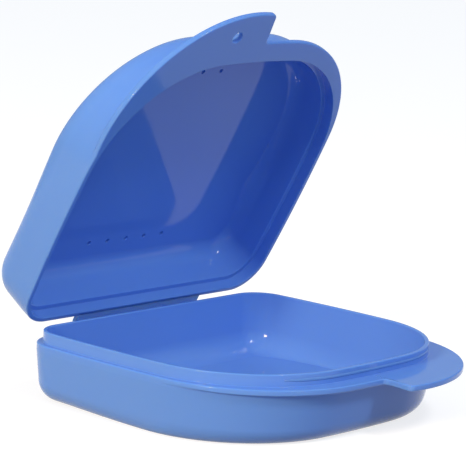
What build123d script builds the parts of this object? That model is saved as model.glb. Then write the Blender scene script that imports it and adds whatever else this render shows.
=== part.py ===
from build123d import *
import math
import os
from typing import NamedTuple

# Denture case: one polypropylene moulding in three regions. A tray, a lid of about the same
# depth, and a thin web that joins them along the back and bends when the lid turns.
# Millimetres. +Z up, +Y towards the hinge, origin at the centre of the tray's footprint on
# the table. The lid is drawn shut, then turned about the web to the pose it is kept in.

# ---------------------------------------------------------------- driving dimensions

# Outline seen from above
WIDTH = 82.0
DEPTH = 73.5
SIDE_RADIUS = 381.0
WIDEST_FROM_BACK = 26.5
FRONT_RADIUS = 224.0
BACK_CORNER_RADIUS = 9.0
FRONT_CORNER_RADIUS = 30.5

# Tray
LEDGE_HEIGHT = 13.7
TRAY_FLOOR = 1.5
TRAY_WALL = 1.8
TRAY_SIDE_DRAFT = 1.1
TRAY_FRONT_DRAFT = 1.7
TRAY_BOTTOM_ROUND = 5.0
FLOOR_CORNER_RADIUS = 0.3

# Rim that stands on the tray's ledge and enters the lid
RIM_HEIGHT = 2.8
RIM_THICKNESS = 1.0
RIM_EDGE_ROUND = 0.3

# Low bead across the front of the rim, over which the lid clicks
BEAD_PROUD = 0.15
BEAD_HEIGHT = 0.7
BEAD_BELOW_RIM_TOP = 1.4
BEAD_LENGTH = 50.0

# Lid
LID_HEIGHT = 14.3
LID_CROWN = 1.4
LID_SIDE_DRAFT = 0.4
LID_FRONT_DRAFT = 0.4
LID_BACK_DRAFT = 0.3
LID_CROWN_ROUND = 5.7
LID_WALL = 2.2
SKIRT_WALL = 1.2

# Lips: round the front of each half a crescent on one side and a fin-shaped finger tab on
# the other. A tab is part of a disc, cut off near the middle by an edge that runs straight
# out to its root and then leans towards -X.
LIP_THICKNESS = 1.4
LIP_EDGE_ROUND = 0.35
LIP_CORNER_ROUND = 1.0
FLANGE_CORNER_EXTRA = 1.2
TAB_TIP_ROUND = 1.2


class Lips(NamedTuple):
    """Plan of one half's lips. tab_side is the x direction the finger tab lies in.

    Starts and root are measured from the back, and reaches from the front edge outwards.
    """
    tab_side: int
    tab_start: float
    flange_start: float
    flange_reach: float
    tab_reach: float
    tab_radius: float
    tab_centre_x: float
    edge_x: float
    edge_root_from_back: float
    edge_lean: float


BASE_LIPS = Lips(
    tab_side=1, tab_start=52.2, flange_start=49.5, flange_reach=2.5,
    tab_reach=11.2, tab_radius=34.4, tab_centre_x=5.0,
    edge_x=-0.5, edge_root_from_back=77.8, edge_lean=8.0,
)
LID_LIPS = Lips(
    tab_side=-1, tab_start=49.7, flange_start=48.2, flange_reach=4.0,
    tab_reach=12.1, tab_radius=34.2, tab_centre_x=5.9,
    edge_x=-0.8, edge_root_from_back=79.5, edge_lean=7.0,
)

# Hole for a cord in the lid's tab
CORD_HOLE_DIAMETER = 3.0
CORD_HOLE_X = 11.6
CORD_HOLE_FROM_BACK = 79.6

# Vents through the lid's crown
VENT_DIAMETER = 1.2
VENT_PITCH = 6.2
BACK_ROW_VENTS = 5
BACK_ROW_FROM_BACK = 11.0
FRONT_ROW_VENTS = 3
FRONT_ROW_FROM_FRONT = 13.0
FRONT_ROW_X = -0.5
VENT_CUT_DEPTH = 3.8

# Living hinge
HINGE_WIDTH = 41.6
HINGE_REACH = 3.1
TONGUE_THICKNESS = 1.2
TONGUE_CORNER_ROUND = 1.0
WEB_RADIUS = 0.5
WEB_CLEFT = 0.25

# Fits
RIM_CLEARANCE = 0.25
RIM_HEADROOM = 0.3
PARTING_GAP = 0.1

# Pose
OPEN_ANGLE = 61.0

# ---------------------------------------------------------------- derived places

BACK_Y = DEPTH / 2
FRONT_Y = -DEPTH / 2
LID_Z = LEDGE_HEIGHT + PARTING_GAP
SKIRT_HEIGHT = RIM_HEIGHT - PARTING_GAP + RIM_HEADROOM
RIM_INSET = SKIRT_WALL + RIM_CLEARANCE
RIM_INNER_INSET = RIM_INSET + RIM_THICKNESS
LIP_UNDERSIDE = LEDGE_HEIGHT - LIP_THICKNESS
HINGE_Y = BACK_Y + HINGE_REACH
HINGE_Z = LEDGE_HEIGHT + PARTING_GAP / 2
HINGE_AXIS = Axis((0, HINGE_Y, HINGE_Z), (1, 0, 0))
BIG = 4 * (WIDTH + DEPTH)


# ---------------------------------------------------------------- helpers

def outline(inset=0.0, front=0.0, back=0.0, corner_extra=0.0):
    """Face of the case's outline: a strip and three large discs overlap, with round corners.

    inset moves the whole edge inwards; front and back move only those edges further in.
    corner_extra is added to the radius of the front corners.
    """
    side_offset = WIDTH / 2 - SIDE_RADIUS
    widest_y = BACK_Y - WIDEST_FROM_BACK
    top = BACK_Y - inset - back
    with BuildSketch() as sketch:
        with Locations(Location((side_offset, widest_y, 0), (0, 0, 180))):
            Circle(SIDE_RADIUS - inset)
        with Locations((-side_offset, widest_y)):
            Circle(SIDE_RADIUS - inset, mode=Mode.INTERSECT)
        with Locations((0, FRONT_Y + front + FRONT_RADIUS)):
            Circle(FRONT_RADIUS - inset, mode=Mode.INTERSECT)
        with Locations((0, top)):
            Rectangle(BIG, BIG, align=(Align.CENTER, Align.MAX), mode=Mode.INTERSECT)
        corners = sketch.vertices().sort_by(Axis.Y)
        fillet(corners[-2:], BACK_CORNER_RADIUS - inset)
        corners = sketch.vertices().sort_by(Axis.Y)
        fillet(corners[:2], FRONT_CORNER_RADIUS - inset + corner_extra)
    return sketch.face()


def at_height(face, z):
    return Pos(0, 0, z) * face


def slab(face, z, height):
    return extrude(at_height(face, z), height, dir=(0, 0, 1))


def lofted(low_face, low_z, high_face, high_z):
    return loft([at_height(low_face, low_z), at_height(high_face, high_z)], ruled=True)


def front_region(x_low, x_high, y_high, z, height):
    """Block in front of y_high, between two x positions."""
    block = Box(x_high - x_low, BIG, height, align=(Align.MIN, Align.MAX, Align.MIN))
    return Pos(x_low, y_high, z) * block


def single(shape):
    """The one solid that a boolean result holds."""
    return shape.solids().sort_by(SortBy.VOLUME)[-1]


def opened(shape):
    return shape.rotate(HINGE_AXIS, -OPEN_ANGLE)


# ---------------------------------------------------------------- tray

def tray():
    """Floor and drafted walls up to the ledge, rounded underneath.

    Inside, the floor rises into the walls in the largest round that its back corners allow.
    """
    foot = outline(TRAY_SIDE_DRAFT, front=TRAY_FRONT_DRAFT)
    body = lofted(foot, 0, outline(), LIP_UNDERSIDE)
    body = fillet(body.edges().group_by(Axis.Z)[0], TRAY_BOTTOM_ROUND)
    body += slab(outline(), LIP_UNDERSIDE, LIP_THICKNESS)
    floor_face = outline(TRAY_SIDE_DRAFT + TRAY_WALL, front=TRAY_FRONT_DRAFT)
    hollow = lofted(floor_face, TRAY_FLOOR, outline(RIM_INNER_INSET), LEDGE_HEIGHT)
    inner_round = BACK_CORNER_RADIUS - TRAY_SIDE_DRAFT - TRAY_WALL - FLOOR_CORNER_RADIUS
    hollow = fillet(hollow.edges().group_by(Axis.Z)[0], inner_round)
    return single(body - hollow)


def rim():
    """Upstanding wall set back from the tray's edge, leaving the ledge."""
    wall = slab(outline(RIM_INSET), LEDGE_HEIGHT, RIM_HEIGHT)
    wall -= slab(outline(RIM_INNER_INSET), LEDGE_HEIGHT, RIM_HEIGHT)
    return single(fillet(wall.edges().group_by(Axis.Z)[-1], RIM_EDGE_ROUND))


def bead():
    """Ridge along the front of the rim."""
    bottom = LEDGE_HEIGHT + RIM_HEIGHT - BEAD_BELOW_RIM_TOP - BEAD_HEIGHT / 2
    ring = slab(outline(RIM_INSET - BEAD_PROUD), bottom, BEAD_HEIGHT)
    ring -= slab(outline(RIM_INSET), bottom, BEAD_HEIGHT)
    ring &= front_region(-BEAD_LENGTH / 2, BEAD_LENGTH / 2, 0, bottom, BEAD_HEIGHT)
    return single(ring)


# ---------------------------------------------------------------- lips

def lip_face(plan):
    """Both lips of one half, with the area they stand out from."""
    root_y = BACK_Y - plan.edge_root_from_back
    lean_x = plan.edge_x - BIG * math.tan(math.radians(plan.edge_lean))
    far_x = plan.tab_side * BIG
    centre = (plan.tab_side * plan.tab_centre_x, FRONT_Y - plan.tab_reach + plan.tab_radius)
    corner = Vector(plan.edge_x, FRONT_Y - plan.flange_reach)
    with BuildSketch() as tab:
        with Locations(centre):
            Circle(plan.tab_radius)
        with BuildLine():
            Polyline(
                (plan.edge_x, BIG), (plan.edge_x, root_y), (lean_x, root_y - BIG),
                (far_x, root_y - BIG), (far_x, BIG), close=True,
            )
        make_face(mode=Mode.INTERSECT)
        fillet(tab.vertices().sort_by(Axis.Y)[0], TAB_TIP_ROUND)
    with BuildSketch() as both:
        add(outline(front=-plan.flange_reach, corner_extra=FLANGE_CORNER_EXTRA))
        with Locations((plan.edge_x, 0)):
            align = (Align.MIN if plan.tab_side > 0 else Align.MAX, Align.CENTER)
            Rectangle(BIG, BIG, align=align, mode=Mode.SUBTRACT)
        add(tab.face())
        near_corner = both.vertices().sort_by_distance(corner)
        fillet(near_corner[0], LIP_CORNER_ROUND)
    return both.face()


def lips(plan, z):
    """The flange and the finger tab of one half, each as its own solid."""
    plate = slab(lip_face(plan), z, LIP_THICKNESS)
    edges = plate.edges().group_by(Axis.Z)
    plate = fillet(edges[0] + edges[-1], LIP_EDGE_ROUND)
    plate -= slab(outline(), z, LIP_THICKNESS)

    def region(end_x, start):
        x_low, x_high = sorted((plan.edge_x, end_x))
        return front_region(x_low, x_high, BACK_Y - start, z, LIP_THICKNESS)

    root = BACK_Y - plan.edge_root_from_back
    past_root = front_region(-WIDTH, WIDTH, root, z, LIP_THICKNESS)
    flange_region = region(-plan.tab_side * WIDTH, plan.flange_start) - past_root
    tab_region = region(plan.tab_side * WIDTH, plan.tab_start) + past_root
    return single(plate & flange_region), single(plate & tab_region)


# ---------------------------------------------------------------- lid

def lid_shell():
    """Crown and walls above the skirt, pierced by two rows of vents."""
    wall_z = LID_Z + SKIRT_HEIGHT
    top_z = LID_Z + LID_HEIGHT
    crown = outline(LID_SIDE_DRAFT, front=LID_FRONT_DRAFT, back=LID_BACK_DRAFT)
    body = lofted(outline(), wall_z, crown, top_z)
    body = fillet(body.edges().group_by(Axis.Z)[-1], LID_CROWN_ROUND)
    ceiling = outline(LID_SIDE_DRAFT + LID_WALL, front=LID_FRONT_DRAFT, back=LID_BACK_DRAFT)
    hollow = lofted(outline(RIM_INNER_INSET), wall_z, ceiling, top_z - LID_CROWN)
    hollow = fillet(hollow.edges().group_by(Axis.Z)[-1], LID_CROWN_ROUND - LID_CROWN)
    return single(body - hollow - vents(top_z))


def vents(top_z):
    rows = (
        (BACK_ROW_VENTS, 0, BACK_Y - BACK_ROW_FROM_BACK),
        (FRONT_ROW_VENTS, FRONT_ROW_X, FRONT_Y + FRONT_ROW_FROM_FRONT),
    )
    holes = []
    for count, middle_x, row_y in rows:
        first_x = middle_x - VENT_PITCH * (count - 1) / 2
        for index in range(count):
            place = Pos(first_x + index * VENT_PITCH, row_y, top_z)
            holes.append(place * Cylinder(VENT_DIAMETER / 2, VENT_CUT_DEPTH))
    return holes


def skirt():
    """Thin lower wall of the lid that goes round the rim."""
    wall = slab(outline(), LID_Z, SKIRT_HEIGHT) - slab(outline(SKIRT_WALL), LID_Z, SKIRT_HEIGHT)
    return single(wall)


def cord_hole():
    depth = 4 * LIP_THICKNESS
    return Pos(-CORD_HOLE_X, BACK_Y - CORD_HOLE_FROM_BACK, LID_Z) * Cylinder(
        CORD_HOLE_DIAMETER / 2, depth)


# ---------------------------------------------------------------- hinge

def tongue(z):
    """Stiff strip from the back wall to the web."""
    length = HINGE_REACH - WEB_CLEFT
    strip = Box(HINGE_WIDTH, length, TONGUE_THICKNESS, align=(Align.CENTER, Align.MIN, Align.MIN))
    strip = Pos(0, BACK_Y, z) * strip
    ends = strip.edges().filter_by(Axis.Z).group_by(Axis.Y)[-1]
    return single(fillet(ends, TONGUE_CORNER_ROUND))


def web(tongues):
    """Flexible bead between the tongues' tips: a rod round the hinge line, less the tongues."""
    rod = Cylinder(WEB_RADIUS, HINGE_WIDTH - 2 * TONGUE_CORNER_ROUND, rotation=(0, 90, 0))
    rod = Pos(0, HINGE_Y, HINGE_Z) * rod
    for piece in tongues:
        rod -= piece
    return single(rod)


# ---------------------------------------------------------------- assembly

def build():
    base_tongue = tongue(LEDGE_HEIGHT - TONGUE_THICKNESS)
    lid_tongue = opened(tongue(LID_Z))
    base_flange, base_tab = lips(BASE_LIPS, LIP_UNDERSIDE)
    lid_flange, lid_tab = lips(LID_LIPS, LID_Z)
    return {
        "base_tray": tray(),
        "base_rim": rim(),
        "snap_bead": bead(),
        "base_flange": base_flange,
        "base_finger_tab": base_tab,
        "base_hinge_tongue": base_tongue,
        "hinge_web": web([base_tongue, lid_tongue]),
        "lid_hinge_tongue": lid_tongue,
        "lid_shell": opened(lid_shell()),
        "lid_skirt": opened(skirt()),
        "lid_flange": opened(lid_flange),
        "lid_finger_tab": opened(single(lid_tab - cord_hole())),
    }


os.makedirs("parts", exist_ok=True)
for node, solid in build().items():
    export_step(solid, f"parts/{node}.step")
    size = solid.bounding_box().size
    print(f"{node}: {solid.volume:.0f} mm3, {size.X:.1f} x {size.Y:.1f} x {size.Z:.1f}")
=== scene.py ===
# %% [markdown]
# # A denture case, moulded in one shot of blue plastic
# The case is a tray and a lid of about the same depth. They leave the mould as one piece,
# joined along the back by a web thin enough to bend. This lesson loads the measured model
# as a frame, lays two smooth moulded shells over it, cuts the vents, and lights the result.
# Lengths are written in millimetres, as on a drawing, and turned to metres at the end.

# %% The measured frame
import math
import bpy
import bmesh
import numpy as np
from mathutils import Matrix, Vector


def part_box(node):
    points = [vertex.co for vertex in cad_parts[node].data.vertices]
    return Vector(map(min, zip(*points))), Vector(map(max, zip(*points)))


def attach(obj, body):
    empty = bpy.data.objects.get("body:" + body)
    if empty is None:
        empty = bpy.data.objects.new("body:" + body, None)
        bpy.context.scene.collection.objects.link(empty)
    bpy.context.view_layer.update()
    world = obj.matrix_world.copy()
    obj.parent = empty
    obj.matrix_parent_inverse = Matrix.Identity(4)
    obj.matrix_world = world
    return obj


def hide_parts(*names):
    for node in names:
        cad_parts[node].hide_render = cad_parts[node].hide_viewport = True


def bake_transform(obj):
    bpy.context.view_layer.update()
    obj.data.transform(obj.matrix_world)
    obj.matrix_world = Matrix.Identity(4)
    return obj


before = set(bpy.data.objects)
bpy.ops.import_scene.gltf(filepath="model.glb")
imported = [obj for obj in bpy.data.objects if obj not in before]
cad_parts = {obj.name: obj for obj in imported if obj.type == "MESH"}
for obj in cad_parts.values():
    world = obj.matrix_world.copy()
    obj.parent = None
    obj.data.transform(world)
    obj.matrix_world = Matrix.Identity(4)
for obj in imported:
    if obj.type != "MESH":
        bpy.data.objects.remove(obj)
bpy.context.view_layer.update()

MM = 0.001
for node in sorted(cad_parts):
    low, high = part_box(node)
    print(node, [round((b - a) / MM, 1) for a, b in zip(low, high)], "mm")

# %% [markdown]
# ## The camera first
# A camera that matches the wanted view makes every later choice easier to judge. The lens
# is long, so the case is drawn with little perspective, and the camera stands a little
# above the table with a slight roll.

# %% Camera
TURN = math.radians(-47.605)
RISE = math.radians(9.874)
ROLL = math.radians(2.672)
DISTANCE = 555.182
FOCAL_PIXELS, IMAGE_WIDTH, SENSOR_WIDTH = 2421.6, 466, 36
TARGET = Vector((-7.497, 2.304, 42.701))

toward = Vector((math.sin(TURN) * math.cos(RISE), -math.cos(TURN) * math.cos(RISE),
                 math.sin(RISE)))
right = Vector((math.cos(TURN), math.sin(TURN), 0))
up = toward.cross(right)
rolled_right = math.cos(ROLL) * right + math.sin(ROLL) * up
rolled_up = -math.sin(ROLL) * right + math.cos(ROLL) * up
camera_data = bpy.data.cameras.new("camera")
camera_data.sensor_width = SENSOR_WIDTH
camera_data.lens = FOCAL_PIXELS * SENSOR_WIDTH / IMAGE_WIDTH
camera_data.clip_start, camera_data.clip_end = 0.01, 50
camera = bpy.data.objects.new("camera", camera_data)
bpy.context.collection.objects.link(camera)
turn = Matrix((rolled_right, rolled_up, toward)).transposed().to_4x4()
camera.matrix_world = Matrix.Translation((TARGET + toward * DISTANCE) * MM) @ turn
bpy.context.scene.camera = camera
print("lens", round(camera_data.lens, 1), "mm, camera at",
      [round(c) for c in TARGET + toward * DISTANCE])

# %% [markdown]
# ## The outline of the case
# Seen from above, the case is a straight back, two nearly straight sides, a shallow front
# arc and four round corners. Every wall is a stack of such outlines, each a little further
# in or out. If every outline has the same number of points, and each point keeps its place
# along the edge, then the stack can be skinned with plain quads and stays smooth.
# A station says where a point is: 0 is the middle of the back, 1 the end of the straight,
# 2 the end of the back corner, 3 the end of the side, 4 the end of the front corner and
# 5 the middle of the front. From 5 to 10 the stations come back along the other side.

# %% Outline
WIDTH, DEPTH = 82.0, 73.5
BACK_Y, FRONT_Y = DEPTH / 2, -DEPTH / 2
SIDE_RADIUS, WIDEST_FROM_BACK = 381.0, 26.5
FRONT_RADIUS = 224.0
BACK_CORNER_RADIUS, FRONT_CORNER_RADIUS = 9.0, 30.5


def half_arcs(inset=0.0, front=0.0, back=0.0, corner_extra=0.0):
    """Centre, radius and end angles of the four arcs of the +X half, from the back on."""
    side_c = np.array((WIDTH / 2 - SIDE_RADIUS, BACK_Y - WIDEST_FROM_BACK))
    front_c = np.array((0.0, FRONT_Y + front + FRONT_RADIUS))
    side_r, front_r = SIDE_RADIUS - inset, FRONT_RADIUS - inset
    back_r = BACK_CORNER_RADIUS - inset
    corner_r = FRONT_CORNER_RADIUS - inset + corner_extra
    y = BACK_Y - inset - back - back_r
    back_c = np.array((side_c[0] + math.sqrt((side_r - back_r) ** 2 - (y - side_c[1]) ** 2), y))
    # the front corner's centre lies where two circles cross
    a, b = side_r - corner_r, front_r - corner_r
    gap = front_c - side_c
    far = np.linalg.norm(gap)
    along = (a * a - b * b + far * far) / (2 * far)
    off = math.sqrt(a * a - along * along)
    across = np.array((gap[1], -gap[0])) / far
    corner_c = side_c + gap / far * along + across * off

    def angle(centre, point):
        return math.atan2(point[1] - centre[1], point[0] - centre[0])

    side_from, side_to = angle(side_c, back_c), angle(side_c, corner_c)
    front_from = angle(front_c, corner_c)
    return [(back_c, back_r, math.pi / 2, side_from), (side_c, side_r, side_from, side_to),
            (corner_c, corner_r, side_to, front_from), (front_c, front_r, front_from, -math.pi / 2)]


def outline(stations, **moves):
    """Points of the outline at the given stations, moved in by the given insets."""
    arcs = half_arcs(**moves)
    back_y = arcs[0][0][1] + arcs[0][1]
    points = np.empty((len(stations), 2))
    for row, station in enumerate(stations):
        side = -1 if station <= 5 else 1
        station = station if station <= 5 else 10 - station
        if station <= 1:
            x, y = station * arcs[0][0][0], back_y
        else:
            part = min(int(station) - 1, 3)
            (cx, cy), radius, start, end = arcs[part]
            turned = start + (end - start) * (station - 1 - part)
            x, y = cx + radius * math.cos(turned), cy + radius * math.sin(turned)
        points[row] = side * x, y
    return points


arcs = half_arcs()
print("front corner begins at x", round(arcs[3][0][0] + arcs[3][1] * math.cos(arcs[3][2]), 1))

# %% [markdown]
# ## The lips
# Round the front of each half runs a lip: a slim crescent on one side, and on the other a
# fin-shaped tab for the finger. The fin is part of a disc, cut off near the middle. The
# lip's edge needs a point for every station too, so that the skin can run from wall to lip.
# Beside the fin the points simply move straight out. At the cut the edge turns away from
# the wall, so there a few close stations are spread along it.

# %% Lip edges
FLANGE_CORNER_EXTRA = 1.2
LIP_CORNER_ROUND, TAB_TIP_ROUND = 1.0, 1.2
CUT_SPREAD, TIP_SPREAD = 1.2, 0.4
ARC_POINTS = 9
STEPS_PER_STRETCH = (8, 14, 20, 36, 20)
ROOM_BESIDE_CUT = 0.025
BASE_LIPS = dict(side=1, flange_reach=2.5, tab_reach=11.2, radius=34.4, centre_x=5.0,
                 edge_x=-0.5, root=BACK_Y - 77.8, lean=8.0)
LID_LIPS = dict(side=-1, flange_reach=4.0, tab_reach=12.1, radius=34.2, centre_x=5.9,
                edge_x=-0.8, root=BACK_Y - 79.5, lean=7.0)


def arc_points(centre, radius, start, end, count):
    angles = np.linspace(start, end, count)
    return np.c_[centre[0] + radius * np.cos(angles), centre[1] + radius * np.sin(angles)]


def cut_of_tab(lips):
    """Edge of the lip round the cut, with the x on the wall that each point belongs to.

    It is worked out with the tab on +X, from the crescent to the middle of the disc.
    """
    edge = lips["side"] * lips["edge_x"]
    slope = lips["side"] * math.tan(math.radians(lips["lean"]))
    disc = np.array((lips["centre_x"], FRONT_Y - lips["tab_reach"] + lips["radius"]))
    # the crescent ends in a small inner corner
    front_y = FRONT_Y - lips["flange_reach"]
    r = LIP_CORNER_ROUND
    inner = arc_points((edge - r, front_y - r), r, math.pi / 2, 0, ARC_POINTS)
    # the cut runs straight out to the tip, whose small round touches the cut and the disc
    outward = np.array((-slope, -1)) / math.hypot(slope, 1)
    sideways = np.array((1, -slope)) / math.hypot(slope, 1)
    root = np.array((edge, lips["root"]))
    start = root + TAB_TIP_ROUND * sideways - disc
    reach = lips["radius"] - TAB_TIP_ROUND
    b, c = start @ outward, start @ start - reach ** 2
    tip_c = disc + start + outward * (-b + math.sqrt(b * b - c))
    tip_start = tip_c - TAB_TIP_ROUND * sideways
    away = tip_c - disc
    tip_from = math.atan2(*(tip_start - tip_c)[::-1])
    tip_to = math.atan2(away[1], away[0])
    if tip_from > 0:
        tip_from -= 2 * math.pi
    tip = arc_points(tip_c, TAB_TIP_ROUND, tip_from, tip_to, ARC_POINTS)
    straight = np.array([inner[-1] + (root - inner[-1]) * f for f in (0.5, 1.0)]
                        + [root + (tip_start - root) * f for f in (0.2, 0.4, 0.6, 0.8)])
    disc_part = arc_points(disc, lips["radius"], tip_to, -math.pi / 2, ARC_POINTS)
    wall_x = np.r_[np.linspace(edge - r, edge, ARC_POINTS),
                   edge + CUT_SPREAD * np.linspace(0, 1, len(straight) + 2)[1:-1],
                   edge + CUT_SPREAD + TIP_SPREAD * np.linspace(0, 1, ARC_POINTS),
                   np.linspace(edge + CUT_SPREAD + TIP_SPREAD, disc[0], ARC_POINTS)[1:]]
    return np.r_[inner, straight, tip, disc_part[1:]], wall_x, disc


def front_station(x):
    """Station of a point on the front arc."""
    _, radius, start, end = half_arcs()[3]
    turned = -math.pi / 2 + math.asin(abs(x) / radius)
    away = (turned - end) / (start - end)
    return 5 + math.copysign(away, x)


def stations_for(lips):
    """All stations of one half of the case, close together at the cut of its tab."""
    _, wall_x, _ = cut_of_tab(lips)
    close = sorted(front_station(lips["side"] * x) for x in wall_x)
    stretches = [np.linspace(start, start + 1, steps + 1)[:-1]
                 for start, steps in enumerate(STEPS_PER_STRETCH)]
    half = np.r_[np.concatenate(stretches), 5.0]
    even = np.r_[half, 10 - half[-2:0:-1]]
    first, last = close[0] - ROOM_BESIDE_CUT, close[-1] + ROOM_BESIDE_CUT
    apart = [station for station in even if not first <= station <= last]
    return np.array(sorted(apart + close))


base_stations = stations_for(BASE_LIPS)
lid_stations = stations_for(LID_LIPS)
print(len(base_stations), "stations round the tray,", len(lid_stations), "round the lid")


# %% From wall to lip edge
FROM_SIDE_TO_SIDE = np.linspace(2.0, 8.0, 6001)


def straight_out(wall, normal, lips, flange):
    """How far each wall point moves out to reach the crescent or the disc."""
    _, wall_x, disc = cut_of_tab(lips)
    side = lips["side"]
    reach = np.zeros(len(wall))
    for row, (point, out) in enumerate(zip(wall, normal)):
        if point[1] >= 0:
            continue
        if point[0] * side > wall_x[0]:
            # tab: the distance along the normal to the disc's edge
            away = point * (side, 1) - disc
            b, c = away @ (out * (side, 1)), away @ away - lips["radius"] ** 2
            if c < 0:
                reach[row] = -b + math.sqrt(b * b - c)
        else:
            # crescent: where the normal crosses its outline
            offset = flange - point
            along, across = offset @ out, offset @ np.array((-out[1], out[0]))
            crossing = np.flatnonzero((across[:-1] * across[1:] <= 0) & (along[:-1] > -1))
            if len(crossing):
                i = crossing[0]
                f = across[i] / (across[i] - across[i + 1] + 1e-12)
                reach[row] = max(0.0, along[i] + f * (along[i + 1] - along[i]))
    return reach


def lip_edge(stations, lips):
    """Wall points, and the points of the lip's edge that belong to them."""
    wall = outline(stations)
    normal = wall - outline(stations, inset=1.0)
    flange = outline(FROM_SIDE_TO_SIDE, front=-lips["flange_reach"],
                     corner_extra=FLANGE_CORNER_EXTRA)
    edge = wall + normal * straight_out(wall, normal, lips, flange)[:, None]
    cut, wall_x, _ = cut_of_tab(lips)
    close = [front_station(lips["side"] * x) for x in wall_x]
    for station, point in zip(close, cut):
        edge[np.argmin(np.abs(stations - station))] = point * (lips["side"], 1)
    return wall, edge


def edge_normals(points):
    """Outward normals of a closed outline that runs anticlockwise."""
    before = points - np.roll(points, 1, axis=0)
    after = np.roll(points, -1, axis=0) - points
    long_before = np.linalg.norm(before, axis=1)[:, None]
    long_after = np.linalg.norm(after, axis=1)[:, None]
    along = before / long_before * long_after + after / long_after * long_before
    along /= np.linalg.norm(along, axis=1)[:, None]
    return np.c_[along[:, 1], -along[:, 0]]


base_wall, base_edge = lip_edge(base_stations, BASE_LIPS)
lid_wall, lid_edge = lip_edge(lid_stations, LID_LIPS)
print("tray lip reaches y", round(base_edge[:, 1].min(), 2), "and the lid's",
      round(lid_edge[:, 1].min(), 2))

# %% [markdown]
# ## Rings of points, one above another
# A moulded wall is never sharp. Steel is cut with round corners, so the plastic has a large
# round where the floor meets the wall and small ones on every edge. Each helper below makes
# a few rings for one such place: a big round, a lip with its small rounds, a single edge.
# Where the lip fades into the wall there is no room for its small rounds, so the rings
# there are spread evenly instead.

# %% Rings
LIP_THICKNESS, LIP_EDGE_ROUND, LIP_ROOT_ROUND = 1.4, 0.35, 0.4
LIP_SPARE, SPREAD_MARGIN = 0.25, 0.1


def ring(points, z):
    return np.c_[points, np.full(len(points), z) if np.isscalar(z) else z]


def big_round(flat, flat_z, wall, wall_z, radius, steps=10):
    """Rings of a round between a level face and a drafted wall, from the level face on."""
    sign = math.copysign(1, wall_z - flat_z)
    rise = abs(wall_z - flat_z)
    run = np.linalg.norm(wall - flat, axis=1)
    out = (wall - flat) / run[:, None]
    slant = np.hypot(run, rise)
    centre = (radius * run - radius * slant) / rise
    last = -np.arctan2(run, rise)
    rings = []
    for step in range(steps + 1):
        turned = -math.pi / 2 + (last + math.pi / 2) * step / steps
        moved = centre + radius * np.cos(turned)
        height = radius + radius * np.sin(turned)
        rings.append(ring(flat + out * moved[:, None], flat_z + sign * height))
    return rings


def lip_rings(wall, edge, face_z, mouth_z, steps=4):
    """Rings from the wall out along the lip's root face, round its edge to the mouth face."""
    sign = math.copysign(1, mouth_z - face_z)
    thick = abs(mouth_z - face_z)
    gap = edge - wall
    reach = np.linalg.norm(gap, axis=1)
    normal = edge_normals(edge)
    out = np.where(reach[:, None] > 1e-6, gap / np.maximum(reach, 1e-6)[:, None], normal)
    # share: 1 where the lip has room for its small rounds, 0 where there is no lip
    share = np.clip(reach / (LIP_ROOT_ROUND + LIP_EDGE_ROUND + LIP_SPARE), 0, 1)
    share = share * share * (3 - 2 * share)
    root, small = LIP_ROOT_ROUND * share, LIP_EDGE_ROUND * share
    places = []
    for step in range(steps + 1):
        t = math.pi / 2 * step / steps
        moved = np.minimum(root * (1 - math.cos(t)), reach)
        places.append((wall + out * moved[:, None], -root + root * math.sin(t)))
    for step in range(steps + 1):
        t = math.pi / 2 * step / steps
        places.append((edge - normal * (small * (1 - math.sin(t)))[:, None],
                       small * (1 - math.cos(t))))
    spread = np.linspace(-LIP_ROOT_ROUND, thick - LIP_EDGE_ROUND - SPREAD_MARGIN, len(places))
    rings = [ring(xy, face_z + sign * (share * z + (1 - share) * even_z))
             for (xy, z), even_z in zip(places, spread)]
    for step in range(steps + 1):
        t = math.pi / 2 * step / steps
        rings.append(ring(edge - normal * LIP_EDGE_ROUND * (1 - math.cos(t)),
                          mouth_z - sign * LIP_EDGE_ROUND * (1 - math.sin(t))))
    return rings


def small_round(stations, from_inset, from_z, to_inset, to_z, first, steps=4):
    """Quarter round between two insets. It sets off along the "height" or along the "level"."""
    rings = []
    for step in range(steps + 1):
        t = math.pi / 2 * step / steps
        side, rise = math.sin(t), 1 - math.cos(t)
        if first == "height":
            side, rise = 1 - math.cos(t), math.sin(t)
        inset = from_inset + (to_inset - from_inset) * side
        rings.append(ring(outline(stations, inset=inset), from_z + (to_z - from_z) * rise))
    return rings


# %% [markdown]
# ## Skinning the rings
# The rings become a mesh as a lathe part does: quads between neighbours, and one flat face
# at each end. The result is a closed skin with the plastic's real thickness between its
# outer and its inner side, which light needs in order to pass through it believably.

# %% Skin
def skin(name, rings):
    """Closed mesh through a list of rings with the same number of points."""
    mesh = bpy.data.meshes.new(name)
    body = bmesh.new()
    rows = [[body.verts.new([c * MM for c in point]) for point in points] for points in rings]
    for low, high in zip(rows, rows[1:]):
        count = len(low)
        for i in range(count):
            j = (i + 1) % count
            body.faces.new((low[i], low[j], high[j], high[i]))
    body.faces.new(rows[0][::-1])
    body.faces.new(rows[-1])
    bmesh.ops.recalc_face_normals(body, faces=body.faces)
    body.to_mesh(mesh)
    body.free()
    piece = bpy.data.objects.new(name, mesh)
    bpy.context.collection.objects.link(piece)
    return piece


def closed_volume(mesh):
    """Volume in cubic millimetres, and how many edges are open."""
    body = bmesh.new()
    body.from_mesh(mesh)
    volume = body.calc_volume(signed=True)
    loose = sum(1 for edge in body.edges if not edge.is_manifold)
    body.free()
    return volume / MM ** 3, loose


# %% [markdown]
# ## The tray
# The tray has a flat floor with a five millimetre round under it, walls that lean out a
# little so that it leaves the mould, and a ledge. A rim stands on the ledge, set back, and
# goes up inside the lid. The whole half is one skin: floor, wall, lip, ledge, rim, inside.
# Inside, the floor rises into the walls in the largest round that its back corners allow,
# which makes it easy to rinse.

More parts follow.
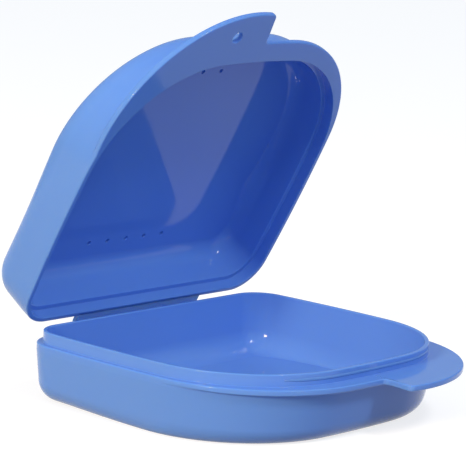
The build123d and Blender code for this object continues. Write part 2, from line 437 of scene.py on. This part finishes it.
# %% Tray
LEDGE_Z, TRAY_FLOOR, TRAY_WALL = 13.7, 1.5, 1.8
TRAY_SIDE_DRAFT, TRAY_FRONT_DRAFT, TRAY_BOTTOM_ROUND = 1.1, 1.7, 5.0
FLOOR_CORNER_RADIUS = 0.3
RIM_INSET, RIM_INNER_INSET, RIM_TOP, RIM_EDGE_ROUND = 1.45, 2.45, 16.5, 0.3
LEDGE_ROUND = 0.15

s = base_stations
lip_z = LEDGE_Z - LIP_THICKNESS
foot = outline(s, inset=TRAY_SIDE_DRAFT, front=TRAY_FRONT_DRAFT)
floor_edge = outline(s, inset=TRAY_SIDE_DRAFT + TRAY_WALL, front=TRAY_FRONT_DRAFT)
tray_rings = big_round(foot, 0, base_wall, lip_z, TRAY_BOTTOM_ROUND)
tray_rings += lip_rings(base_wall, base_edge, lip_z, LEDGE_Z)
tray_rings += small_round(s, RIM_INSET - LEDGE_ROUND, LEDGE_Z, RIM_INSET,
                          LEDGE_Z + LEDGE_ROUND, "level", 3)
tray_rings += small_round(s, RIM_INSET, RIM_TOP - RIM_EDGE_ROUND, RIM_INSET + RIM_EDGE_ROUND,
                          RIM_TOP, "height")
tray_rings += small_round(s, RIM_INNER_INSET - RIM_EDGE_ROUND, RIM_TOP, RIM_INNER_INSET,
                          RIM_TOP - RIM_EDGE_ROUND, "level")
inner_top = outline(s, inset=RIM_INNER_INSET)
tray_rings.append(ring(inner_top, LEDGE_Z))
inner_round = BACK_CORNER_RADIUS - TRAY_SIDE_DRAFT - TRAY_WALL - FLOOR_CORNER_RADIUS
tray_rings += big_round(floor_edge, TRAY_FLOOR, inner_top, LEDGE_Z, inner_round)[::-1]
tray = skin("case_tray", tray_rings)
print("tray", [round(v) for v in closed_volume(tray.data)], len(tray.data.polygons), "faces")

# %% [markdown]
# ## The lid
# The lid is drawn shut, mouth down, and only then turned open about the hinge line, so its
# insets are those of the tray. Its lower wall is thinner, to go round the tray's rim, and
# a step inside shows where the full wall begins.

# %% Lid
LID_Z, LID_HEIGHT, LID_CROWN, LID_CROWN_ROUND = 13.8, 14.3, 1.4, 5.7
LID_SIDE_DRAFT, LID_FRONT_DRAFT, LID_BACK_DRAFT, LID_WALL = 0.4, 0.4, 0.3, 2.2
SKIRT_WALL, SKIRT_HEIGHT, SKIRT_ROUND = 1.2, 3.0, 0.15

s = lid_stations
step_z, crown_z = LID_Z + SKIRT_HEIGHT, LID_Z + LID_HEIGHT
crown = outline(s, inset=LID_SIDE_DRAFT, front=LID_FRONT_DRAFT, back=LID_BACK_DRAFT)
ceiling = outline(s, inset=LID_SIDE_DRAFT + LID_WALL, front=LID_FRONT_DRAFT, back=LID_BACK_DRAFT)
lid_rings = big_round(crown, crown_z, lid_wall, step_z, LID_CROWN_ROUND)
lid_rings.append(ring(lid_wall, step_z))
lid_rings += lip_rings(lid_wall, lid_edge, LID_Z + LIP_THICKNESS, LID_Z)
lid_rings += small_round(s, SKIRT_WALL - SKIRT_ROUND, LID_Z, SKIRT_WALL, LID_Z + SKIRT_ROUND,
                         "level", 3)
lid_rings += small_round(s, SKIRT_WALL, step_z - SKIRT_ROUND, SKIRT_WALL + SKIRT_ROUND, step_z,
                         "height", 3)
lid_rings += small_round(s, RIM_INNER_INSET - SKIRT_ROUND, step_z, RIM_INNER_INSET,
                         step_z + SKIRT_ROUND, "level", 3)
inner_mouth = outline(s, inset=RIM_INNER_INSET)
lid_rings += big_round(ceiling, crown_z - LID_CROWN, inner_mouth, step_z,
                       LID_CROWN_ROUND - LID_CROWN)[::-1]
lid = skin("case_lid", lid_rings)
print("lid", [round(v) for v in closed_volume(lid.data)], len(lid.data.polygons), "faces")

# %% [markdown]
# ## Vents and the cord hole
# Eight small vents let the case dry out, and one larger hole in the lid's tab takes a cord.
# In the mould they are pins that stop the plastic. Here Geometry Nodes put one pin on each
# point of two rows and take them all away from the lid in one cut. Rows that repeat are
# what the nodes are good at: change the pitch or the count, and the pins follow.

# %% Building node trees
def node_tree(name, inputs):
    """Empty tree with a geometry input, the named inputs and a geometry output."""
    tree = bpy.data.node_groups.new(name, "GeometryNodeTree")
    tree.interface.new_socket("Geometry", in_out="INPUT", socket_type="NodeSocketGeometry")
    sockets = {}
    for label, kind in inputs.items():
        sockets[label] = tree.interface.new_socket(label, in_out="INPUT", socket_type=kind).identifier
    tree.interface.new_socket("Geometry", in_out="OUTPUT", socket_type="NodeSocketGeometry")
    return tree, sockets, tree.nodes.new("NodeGroupInput"), tree.nodes.new("NodeGroupOutput")


def add(tree, kind, links=(), **settings):
    """One node, its settings, and links given as pairs of input and source socket."""
    made = tree.nodes.new(kind)
    for key, value in settings.items():
        setattr(made, key, value)
    for target, source in links:
        socket = made.inputs[target]
        if hasattr(source, "links"):
            tree.links.new(source, socket)
        else:
            socket.default_value = source
    return made


def run_tree(piece, tree, values):
    """Puts the tree on a piece, evaluates it and keeps the result as a plain mesh."""
    modifier = piece.modifiers.new(tree.name, "NODES")
    modifier.node_group = tree
    for identifier, value in values.items():
        modifier[identifier] = value
    make_plain(piece)


def make_plain(piece):
    """Replaces a piece's mesh by what its modifiers make of it."""
    bpy.context.view_layer.update()
    seen = piece.evaluated_get(bpy.context.evaluated_depsgraph_get())
    mesh = bpy.data.meshes.new_from_object(seen)
    piece.modifiers.clear()
    piece.data = mesh
    mesh.name = piece.name


# %% Cutting pins
VENT_DIAMETER, VENT_PITCH = 1.2, 6.2
BACK_ROW_VENTS, BACK_ROW_FROM_BACK = 5, 11.0
FRONT_ROW_VENTS, FRONT_ROW_FROM_FRONT, FRONT_ROW_X = 3, 13.0, -0.5
CORD_HOLE_DIAMETER, CORD_HOLE_X, CORD_HOLE_FROM_BACK = 3.0, -11.6, 79.6
PIN_LENGTH = 4.0

pins, pin_in, given, result = node_tree("pierce_lid", {
    "Back row count": "NodeSocketInt", "Back row start": "NodeSocketVector",
    "Front row count": "NodeSocketInt", "Front row start": "NodeSocketVector",
    "Pitch": "NodeSocketVector",
    "Vent radius": "NodeSocketFloat", "Pin length": "NodeSocketFloat",
    "Cord hole": "NodeSocketVector", "Cord hole radius": "NodeSocketFloat",
    "Plastic": "NodeSocketMaterial"})
vent_pin = add(pins, "GeometryNodeMeshCylinder", [
    ("Vertices", 24), ("Radius", given.outputs["Vent radius"]),
    ("Depth", given.outputs["Pin length"])])
rows = []
for which in ("Back row", "Front row"):
    row = add(pins, "GeometryNodeMeshLine", [
        ("Count", given.outputs[which + " count"]), ("Start Location", given.outputs[which + " start"]),
        ("Offset", given.outputs["Pitch"])])
    rows.append(add(pins, "GeometryNodeInstanceOnPoints", [
        ("Points", row.outputs["Mesh"]), ("Instance", vent_pin.outputs["Mesh"])]))
cord_pin = add(pins, "GeometryNodeMeshCylinder", [
    ("Vertices", 48), ("Radius", given.outputs["Cord hole radius"]),
    ("Depth", given.outputs["Pin length"])])
cord_place = add(pins, "GeometryNodeTransform", [
    ("Geometry", cord_pin.outputs["Mesh"]), ("Translation", given.outputs["Cord hole"])])
all_pins = add(pins, "GeometryNodeJoinGeometry")
for made in (rows[0].outputs["Instances"], rows[1].outputs["Instances"], cord_place.outputs["Geometry"]):
    pins.links.new(made, all_pins.inputs["Geometry"])
real_pins = add(pins, "GeometryNodeRealizeInstances", [("Geometry", all_pins.outputs["Geometry"])])
cut = add(pins, "GeometryNodeMeshBoolean", [
    ("Mesh 1", given.outputs["Geometry"]), ("Mesh 2", real_pins.outputs["Geometry"])],
    operation="DIFFERENCE", solver="EXACT")
real_cut = add(pins, "GeometryNodeRealizeInstances", [("Geometry", cut.outputs["Mesh"])])
finish_cut = add(pins, "GeometryNodeSetMaterial", [
    ("Geometry", real_cut.outputs["Geometry"]), ("Material", given.outputs["Plastic"])])
pins.links.new(finish_cut.outputs["Geometry"], result.inputs["Geometry"])
print("pierce_lid has", len(pins.nodes), "nodes")

# %% [markdown]
# ## Plastic
# The plastic is polypropylene with a blue pigment. It has a satin skin that copies the
# mould's fine polish, so highlights are soft but clear. Light goes a little way into it,
# which makes thin lips look brighter than thick walls. The shade drifts slightly where the
# flow of plastic slowed, and handling leaves faint duller patches. The pattern is made from
# Object coordinates, so that it stays on the piece when the lid turns. The hinge has a paler
# pair of shades than the walls: painted light, which brightens its shaded gap between the
# halves as light through the thin film would.

# %% Satin polypropylene
SKIN_SHINE, REFRACTION = 0.22, 1.49
POLISHED_BY, DULLED_BY = 0.015, 0.025
# how deep light goes for red, green and blue, and the ripples' height, both in metres
GLOW_RADIUS, GLOW_SCALE = (0.2, 0.45, 1.0), 0.0035
RIPPLE_HEIGHT = 0.00004
BLUE_PALE, BLUE_DEEP = (97, 143, 224), (93, 139, 220)
# painted light: the hinge's shades are paler than the walls', to brighten its shaded gap
PAINTED_GLOW_PALE, PAINTED_GLOW_DEEP = (136, 178, 238), (124, 168, 233)


def linear(red, green, blue):
    """Colour for a shader from the usual 0 to 255 values."""
    return tuple(((c / 255 + 0.055) / 1.055) ** 2.4 if c > 10 else c / 255 / 12.92
                 for c in (red, green, blue)) + (1.0,)


def satin_plastic(name, pale, deep, roughness, depth, grain, seed):
    """Blue plastic. pale and deep are the two shades that the flow marks drift between."""
    material = bpy.data.materials.new(name)
    material.use_nodes = True
    tree = material.node_tree
    shader = tree.nodes["Principled BSDF"]
    place = add(tree, "ShaderNodeTexCoord")
    shift = add(tree, "ShaderNodeMapping", [("Vector", place.outputs["Object"])])
    shift.inputs["Location"].default_value = (seed * 0.37, seed * 0.61, seed * 0.23)
    flow = add(tree, "ShaderNodeTexNoise", [
        ("Vector", shift.outputs["Vector"]), ("Scale", 16.0), ("Detail", 2.0), ("Roughness", 0.5)])
    shade = add(tree, "ShaderNodeValToRGB", [("Fac", flow.outputs["Fac"])])
    shade.color_ramp.elements[0].position, shade.color_ramp.elements[0].color = 0.3, linear(*deep)
    shade.color_ramp.elements[1].position, shade.color_ramp.elements[1].color = 0.7, linear(*pale)
    smudge = add(tree, "ShaderNodeTexNoise", [
        ("Vector", shift.outputs["Vector"]), ("Scale", 40.0), ("Detail", 2.0), ("Roughness", 0.5)])
    dull = add(tree, "ShaderNodeMapRange", [
        ("Value", smudge.outputs["Fac"]), ("From Min", 0.3), ("From Max", 0.7),
        ("To Min", roughness - POLISHED_BY), ("To Max", roughness + DULLED_BY)])
    sink = add(tree, "ShaderNodeTexNoise", [
        ("Vector", shift.outputs["Vector"]), ("Scale", 120.0), ("Detail", 1.0), ("Roughness", 0.4)])
    ripple = add(tree, "ShaderNodeBump", [
        ("Height", sink.outputs["Fac"]), ("Strength", grain), ("Distance", RIPPLE_HEIGHT)])
    tree.links.new(shade.outputs["Color"], shader.inputs["Base Color"])
    tree.links.new(dull.outputs["Result"], shader.inputs["Roughness"])
    tree.links.new(ripple.outputs["Normal"], shader.inputs["Normal"])
    shader.inputs["IOR"].default_value = REFRACTION
    shader.inputs["Specular IOR Level"].default_value = SKIN_SHINE
    shader.inputs["Subsurface Weight"].default_value = depth
    shader.inputs["Subsurface Radius"].default_value = GLOW_RADIUS
    shader.inputs["Subsurface Scale"].default_value = GLOW_SCALE
    return material


tray_plastic = satin_plastic("blue_tray", BLUE_PALE, BLUE_DEEP,
                             roughness=0.065, depth=0.25, grain=0.3, seed=1)
lid_plastic = satin_plastic("blue_lid", BLUE_PALE, BLUE_DEEP,
                            roughness=0.07, depth=0.25, grain=0.3, seed=2)
# the hinge gets the paler shades, painted light that lifts the shade it lies in
hinge_plastic_painted_glow = satin_plastic("blue_hinge_painted_glow", PAINTED_GLOW_PALE, PAINTED_GLOW_DEEP,
                              roughness=0.2, depth=1.0, grain=0.5, seed=3)
print("plastics:", [m.name for m in (tray_plastic, lid_plastic, hinge_plastic_painted_glow)])

# %% [markdown]
# ## Piercing and opening the lid
# The pins are longer than the crown is thick, so that they leave no skin behind. After the
# cut the lid is turned open round the hinge line, with its place kept in its mesh.

# %% Pierced lid
HINGE_REACH, PARTING_GAP, OPEN_ANGLE = 3.1, 0.1, 61.0
HINGE_Y, HINGE_Z = BACK_Y + HINGE_REACH, LEDGE_Z + PARTING_GAP / 2
hinge = Vector((0, HINGE_Y, HINGE_Z)) * MM
opening = (Matrix.Translation(hinge) @ Matrix.Rotation(math.radians(-OPEN_ANGLE), 4, "X")
           @ Matrix.Translation(-hinge))

back_row_x = -VENT_PITCH * (BACK_ROW_VENTS - 1) / 2
front_row_x = FRONT_ROW_X - VENT_PITCH * (FRONT_ROW_VENTS - 1) / 2
pin_z = crown_z - LID_CROWN / 2
run_tree(lid, pins, {
    pin_in["Back row count"]: BACK_ROW_VENTS, pin_in["Front row count"]: FRONT_ROW_VENTS,
    pin_in["Pitch"]: (VENT_PITCH * MM, 0.0, 0.0),
    pin_in["Back row start"]: (back_row_x * MM, (BACK_Y - BACK_ROW_FROM_BACK) * MM, pin_z * MM),
    pin_in["Front row start"]: (front_row_x * MM, (FRONT_Y + FRONT_ROW_FROM_FRONT) * MM, pin_z * MM),
    pin_in["Vent radius"]: VENT_DIAMETER / 2 * MM,
    pin_in["Pin length"]: PIN_LENGTH * MM,
    pin_in["Cord hole"]: (CORD_HOLE_X * MM, (BACK_Y - CORD_HOLE_FROM_BACK) * MM,
                          (LID_Z + LIP_THICKNESS / 2) * MM),
    pin_in["Cord hole radius"]: CORD_HOLE_DIAMETER / 2 * MM,
    pin_in["Plastic"]: lid_plastic})
print("pierced lid", [round(v) for v in closed_volume(lid.data)], len(lid.data.polygons), "faces")
lid.data.transform(opening)
tray.data.materials.append(tray_plastic)

# %% [markdown]
# ## The hinge
# Two stiff strips stand out from the back walls, and a thin film joins them.
# Polypropylene can bend there many thousands of times. The strips are small
# skins of their own. The film is a sweep along the hinge line, which Geometry Nodes do with
# one curve and one profile. It belongs to both halves, so it is tied to neither.

# %% Hinge strips
HINGE_WIDTH, WEB_CLEFT, WEB_RADIUS = 41.6, 0.25, 0.5
TONGUE_THICKNESS, TONGUE_CORNER, TONGUE_EDGE_ROUND, TONGUE_SUNK = 1.2, 1.0, 0.2, 0.7


def hinge_strip(name, low, high):
    """Strip from inside the back wall to the film, with its outer corners rounded."""
    x, y0, y1 = HINGE_WIDTH / 2, BACK_Y - TONGUE_SUNK, HINGE_Y - WEB_CLEFT

    def plan(inset):
        r = TONGUE_CORNER
        left = arc_points((-x + r, y1 - r), r - inset, math.pi, math.pi / 2, 7)
        right_end = arc_points((x - r, y1 - r), r - inset, math.pi / 2, 0, 7)
        return np.r_[[(x - inset, y0), (-x + inset, y0)], left, right_end]

    small, rings = TONGUE_EDGE_ROUND, []
    for t in np.linspace(0, math.pi / 2, 4):
        rings.append(ring(plan(small * (1 - math.sin(t))), low + small * (1 - math.cos(t))))
    for t in np.linspace(math.pi / 2, 0, 4):
        rings.append(ring(plan(small * (1 - math.sin(t))), high - small * (1 - math.cos(t))))
    return skin(name, rings)


tray_strip = hinge_strip("tray_hinge_strip", LEDGE_Z - TONGUE_THICKNESS, LEDGE_Z)
lid_strip = hinge_strip("lid_hinge_strip", LID_Z, LID_Z + TONGUE_THICKNESS)
lid_strip.data.transform(opening)
for strip in (tray_strip, lid_strip):
    strip.data.materials.append(hinge_plastic_painted_glow)
    print(strip.name, [round(v) for v in closed_volume(strip.data)])

# %% Sweeping nodes
END_SIZE = 0.35

sweep, sweep_in, given, result = node_tree("sweep_along", {
    "Half height": "NodeSocketFloat", "Half depth": "NodeSocketFloat",
    "Ends": "NodeSocketFloat", "Plastic": "NodeSocketMaterial"})
path = add(sweep, "GeometryNodeMeshToCurve", [("Mesh", given.outputs["Geometry"])])
upright = add(sweep, "GeometryNodeSetCurveNormal", [("Curve", path.outputs["Curve"])], mode="Z_UP")
along = add(sweep, "GeometryNodeSplineParameter")
from_end = add(sweep, "ShaderNodeMath", [(0, 1.0), (1, along.outputs["Factor"])], operation="SUBTRACT")
nearer = add(sweep, "ShaderNodeMath", [(0, along.outputs["Factor"]), (1, from_end.outputs[0])],
             operation="MINIMUM")
fade = add(sweep, "ShaderNodeMapRange", [
    ("Value", nearer.outputs[0]), ("From Min", 0.0), ("From Max", given.outputs["Ends"]),
    ("To Min", END_SIZE), ("To Max", 1.0)], interpolation_type="SMOOTHERSTEP")
circle = add(sweep, "GeometryNodeCurvePrimitiveCircle", [("Resolution", 20), ("Radius", 1.0)])
size = add(sweep, "ShaderNodeCombineXYZ", [
    (0, given.outputs["Half depth"]), (1, given.outputs["Half height"]), (2, 1.0)])
oval = add(sweep, "GeometryNodeTransform", [
    ("Geometry", circle.outputs["Curve"]), ("Scale", size.outputs[0])])
tube = add(sweep, "GeometryNodeCurveToMesh", [
    ("Curve", upright.outputs["Curve"]), ("Profile Curve", oval.outputs["Geometry"]),
    ("Scale", fade.outputs["Result"]), ("Fill Caps", True)])
real_tube = add(sweep, "GeometryNodeRealizeInstances", [("Geometry", tube.outputs["Mesh"])])
finish_tube = add(sweep, "GeometryNodeSetMaterial", [
    ("Geometry", real_tube.outputs["Geometry"]), ("Material", given.outputs["Plastic"])])
sweep.links.new(finish_tube.outputs["Geometry"], result.inputs["Geometry"])
print("sweep_along has", len(sweep.nodes), "nodes")


def swept(name, points, half_depth, half_height, ends, plastic):
    """Piece with an oval section along a line of points."""
    mesh = bpy.data.meshes.new(name)
    mesh.from_pydata([[c * MM for c in p] for p in points],
                     [(i, i + 1) for i in range(len(points) - 1)], [])
    piece = bpy.data.objects.new(name, mesh)
    bpy.context.collection.objects.link(piece)
    run_tree(piece, sweep, {
        sweep_in["Half depth"]: half_depth * MM, sweep_in["Half height"]: half_height * MM,
        sweep_in["Ends"]: ends, sweep_in["Plastic"]: plastic})
    body = bmesh.new()
    body.from_mesh(piece.data)
    bmesh.ops.remove_doubles(body, verts=body.verts, dist=1e-7)
    bmesh.ops.recalc_face_normals(body, faces=body.faces)
    body.to_mesh(piece.data)
    body.free()
    corners = np.array([v.co for v in piece.data.vertices]) / MM
    print(name, "from", corners.min(axis=0).round(2), "to", corners.max(axis=0).round(2))
    return piece


# %% Hinge film
FILM_POINTS = 25
film_x = HINGE_WIDTH / 2 - TONGUE_CORNER
film_line = [(x, HINGE_Y, HINGE_Z) for x in np.linspace(-film_x, film_x, FILM_POINTS)]
film = swept("hinge_film", film_line, WEB_RADIUS, WEB_RADIUS, ends=0.01, plastic=hinge_plastic_painted_glow)

# %% [markdown]
# ## The snap bead
# A low ridge on the front of the rim holds the lid shut: the lid's wall springs over it
# with a click. It follows the rim's curve, so it is the same sweep with a flatter profile,
# sunk half into the rim and fading out at its ends.

# %% Snap bead
BEAD_PROUD, BEAD_HEIGHT, BEAD_BELOW_RIM_TOP, BEAD_LENGTH = 0.15, 0.7, 1.4, 50.0
bead_reach = 5 - np.interp(BEAD_LENGTH / 2, outline(np.linspace(5, 7, 401), inset=RIM_INSET)[:, 0],
                           np.linspace(0, 2, 401))
bead_line = outline(np.linspace(bead_reach, 10 - bead_reach, 81), inset=RIM_INSET)
bead = swept("rim_snap_bead", [(x, y, RIM_TOP - BEAD_BELOW_RIM_TOP) for x, y in bead_line],
             BEAD_PROUD, BEAD_HEIGHT / 2, ends=0.08, plastic=tray_plastic)

# %% [markdown]
# ## Shading
# Rounds this small have few faces. Smooth shading hides the facets, and weighting each
# normal by the size of the faces round it keeps the large flats truly flat.

# %% Smooth shading
SHARP_FROM, FACE_SIZE_COUNTS = math.radians(50), 80

new_pieces = (tray, lid, tray_strip, lid_strip, film, bead)
for piece in new_pieces:
    piece.data.shade_smooth()
    piece.data.set_sharp_from_angle(angle=SHARP_FROM)
    weighted = piece.modifiers.new("weighted normals", "WEIGHTED_NORMAL")
    weighted.keep_sharp = True
    weighted.weight = FACE_SIZE_COUNTS
    make_plain(piece)
print("smoothed", [piece.name for piece in new_pieces])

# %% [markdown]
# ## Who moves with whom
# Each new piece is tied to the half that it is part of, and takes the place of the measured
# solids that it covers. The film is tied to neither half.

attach(tray, "base")
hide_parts("base_tray", "base_rim", "base_flange", "base_finger_tab")
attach(lid, "lid")
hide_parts("lid_shell", "lid_skirt", "lid_flange", "lid_finger_tab")
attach(tray_strip, "base")
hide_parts("base_hinge_tongue")
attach(lid_strip, "lid")
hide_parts("lid_hinge_tongue")
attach(bead, "base")
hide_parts("snap_bead")
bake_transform(film)
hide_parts("hinge_web")
print(len(new_pieces), "pieces tied to the two halves")

# %% [markdown]
# ## Table and light
# A plain table keeps attention on the shape. Its paint is a grey that takes the case's
# shadow, and a glow that only the camera and reflections see makes it look white. A soft,
# slightly blue light comes from all round. The main lamp is a warm panel on the left, as
# from a window, and a weaker one stands high in front of the case.

# %% Surround
SOFT_LIGHT = (0.37, 0.45, 0.56, 1)

world = bpy.data.worlds.new("studio")
bpy.context.scene.world = world
world.use_nodes = True
world.node_tree.nodes["Background"].inputs["Color"].default_value = SOFT_LIGHT
print("soft light", SOFT_LIGHT[:3])


# %% Table
def seen_directly(tree):
    """1 for camera, glossy and transmission rays, 0 for the rays that carry soft light."""
    rays = add(tree, "ShaderNodeLightPath")
    seen = add(tree, "ShaderNodeMath", [
        (0, rays.outputs["Is Camera Ray"]), (1, rays.outputs["Is Glossy Ray"])], operation="MAXIMUM")
    return add(tree, "ShaderNodeMath", [
        (0, seen.outputs[0]), (1, rays.outputs["Is Transmission Ray"])],
        operation="MAXIMUM").outputs[0]


TABLE_HALF_METRES = 3.0
TABLE_GREY, TABLE_GLOW = (0.34, 0.34, 0.34, 1), 0.78

table_mesh = bpy.data.meshes.new("table")
table_corners = [(x * TABLE_HALF_METRES, y * TABLE_HALF_METRES, 0)
                 for x, y in ((-1, -1), (1, -1), (1, 1), (-1, 1))]
table_mesh.from_pydata(table_corners, [], [(0, 1, 2, 3)])
table = bpy.data.objects.new("table", table_mesh)
bpy.context.collection.objects.link(table)
table_paint = bpy.data.materials.new("table_paint")
table_paint.use_nodes = True
tree = table_paint.node_tree
tree.nodes.clear()
matt = add(tree, "ShaderNodeBsdfDiffuse", [("Color", TABLE_GREY)])
lift = add(tree, "ShaderNodeMath", [(0, seen_directly(tree)), (1, TABLE_GLOW)], operation="MULTIPLY")
glow = add(tree, "ShaderNodeEmission", [("Strength", lift.outputs[0])])
both = add(tree, "ShaderNodeAddShader", [(0, matt.outputs[0]), (1, glow.outputs[0])])
add(tree, "ShaderNodeOutputMaterial", [("Surface", both.outputs[0])])
table_mesh.materials.append(table_paint)
print("table", 2 * TABLE_HALF_METRES, "m wide")


# %% Lamps
LAMP_AIM = (0, 0, 40)


def panel(name, place, side, power, colour):
    """Soft square lamp that faces LAMP_AIM. Lengths in millimetres, power in watts."""
    data = bpy.data.lights.new(name, "AREA")
    data.shape, data.size, data.size_y = "RECTANGLE", side * MM, side * MM
    data.energy, data.color = power, colour
    lamp = bpy.data.objects.new(name, data)
    bpy.context.collection.objects.link(lamp)
    lamp.location = Vector(place) * MM
    lamp.rotation_euler = (Vector(LAMP_AIM) - Vector(place)).to_track_quat("-Z", "Y").to_euler()
    print(name, "at", place, "mm,", power, "W")


panel("side_window", place=(-1000, -60, 420), side=230, power=11.2, colour=(1.0, 0.78, 0.48))
panel("front_window", place=(-70, -700, 830), side=180, power=4.4, colour=(1.0, 0.94, 0.88))

scene = bpy.context.scene
scene.view_settings.view_transform = "Standard"
